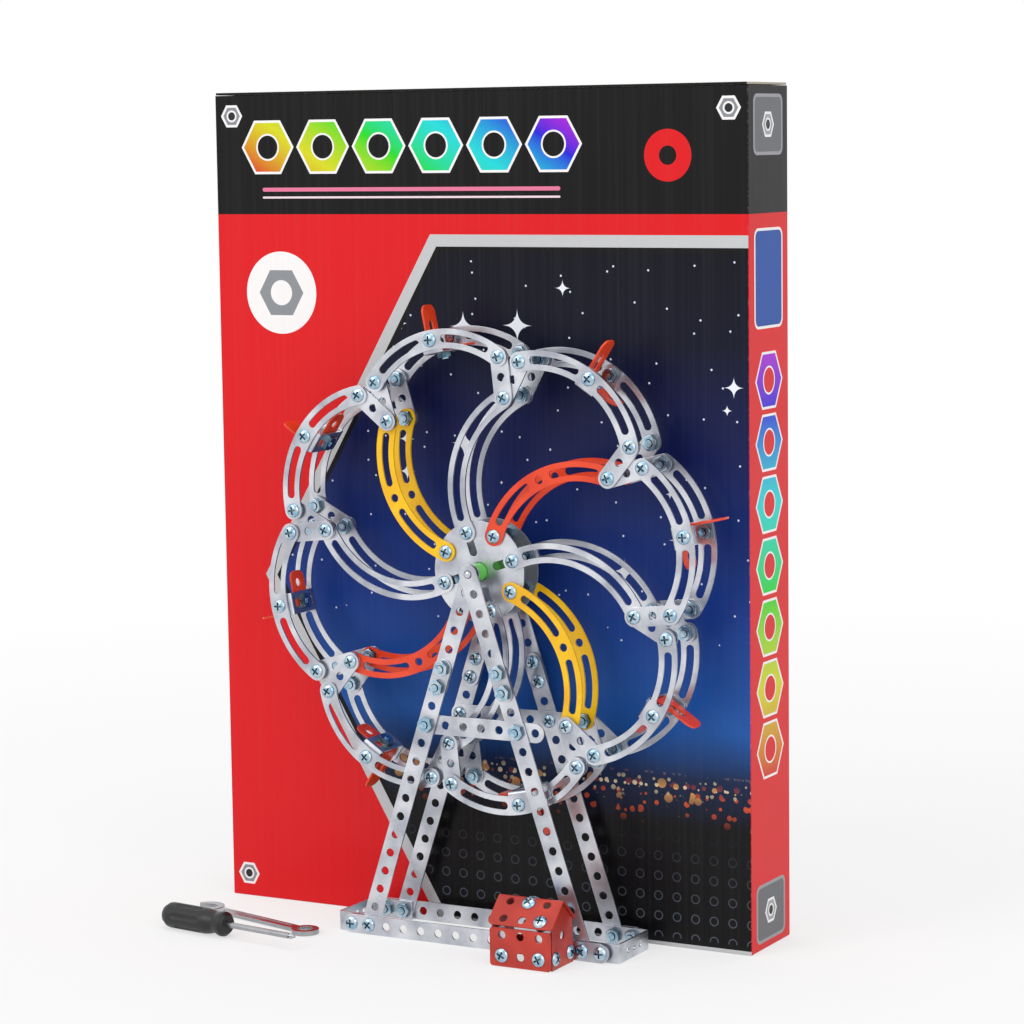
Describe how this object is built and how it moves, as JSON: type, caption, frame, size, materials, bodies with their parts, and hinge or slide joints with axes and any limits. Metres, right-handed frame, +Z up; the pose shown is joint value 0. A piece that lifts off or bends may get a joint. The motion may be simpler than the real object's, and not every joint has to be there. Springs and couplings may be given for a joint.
{
  "type": "metal construction set ferris wheel",
  "caption": "Ferris wheel built from screwed perforated metal strips on a twin A-frame stand, with its two hand tools and its upright retail carton with a tuck lid.",
  "frame": {"origin": "middle of the carton's underside, on the surface that the set stands on", "axes": "+Z up, +Y from the wheel's front towards the carton and along the axle, +X to the right seen from the front"},
  "size_m": [0.3, 0.133, 0.42],
  "materials": {
    "plated_steel": "satin plated",
    "yellow_enamel": "gloss enamel",
    "red_enamel": "gloss enamel",
    "green_plastic": "gloss",
    "axle_steel": "zinc plated",
    "printed_card": "gloss printed card",
    "tool_steel": "satin",
    "tool_grip": "satin"
  },
  "bodies": {
    "stand_and_carton": {"carton_body": "printed_card", "base_rail_front": "plated_steel", "base_rail_rear": "plated_steel", "base_end_left": "plated_steel", "base_end_right": "plated_steel", "leg_front_left": "plated_steel", "leg_front_right": "plated_steel", "leg_rear_left": "plated_steel", "leg_rear_right": "plated_steel", "cross_brace_front": "plated_steel", "cross_brace_rear": "plated_steel", "axle": "axle_steel", "booth_walls": "red_enamel", "booth_roof": "red_enamel", "spanner": "tool_steel", "screwdriver": "tool_grip"},
    "wheel": {"arm_front_1": "plated_steel", "rim_front_1": "plated_steel", "arm_rear_1": "plated_steel", "rim_rear_1": "plated_steel", "seat_1": "red_enamel", "arm_front_2": "red_enamel", "rim_front_2": "plated_steel", "arm_rear_2": "red_enamel", "rim_rear_2": "plated_steel", "seat_2": "red_enamel", "arm_front_3": "plated_steel", "rim_front_3": "plated_steel", "arm_rear_3": "plated_steel", "rim_rear_3": "plated_steel", "seat_3": "red_enamel", "arm_front_4": "yellow_enamel", "rim_front_4": "plated_steel", "arm_rear_4": "yellow_enamel", "rim_rear_4": "plated_steel", "seat_4": "red_enamel", "arm_front_5": "plated_steel", "rim_front_5": "plated_steel", "arm_rear_5": "plated_steel", "rim_rear_5": "plated_steel", "seat_5": "red_enamel", "arm_front_6": "red_enamel", "rim_front_6": "plated_steel", "arm_rear_6": "red_enamel", "rim_rear_6": "plated_steel", "seat_6": "red_enamel", "arm_front_7": "plated_steel", "rim_front_7": "plated_steel", "arm_rear_7": "plated_steel", "rim_rear_7": "plated_steel", "seat_7": "red_enamel", "arm_front_8": "yellow_enamel", "rim_front_8": "plated_steel", "arm_rear_8": "yellow_enamel", "rim_rear_8": "plated_steel", "seat_8": "red_enamel", "hub_disc_front": "plated_steel", "hub_disc_rear": "plated_steel", "hub_sleeve": "green_plastic"},
    "lid": {"carton_lid": "printed_card"}
  },
  "joints": [
    {"name": "wheel_spin", "type": "hinge", "parent": "stand_and_carton", "child": "wheel", "pos_m": [0.02, -0.0481, 0.18508], "axis": [0, 1, 0], "continuous": true},
    {"name": "lid_hinge", "type": "hinge", "parent": "stand_and_carton", "child": "lid", "pos_m": [0, 0.023, 0.4185], "axis": [-1, 0, 0], "range_deg": [0, 115]}
  ]
}
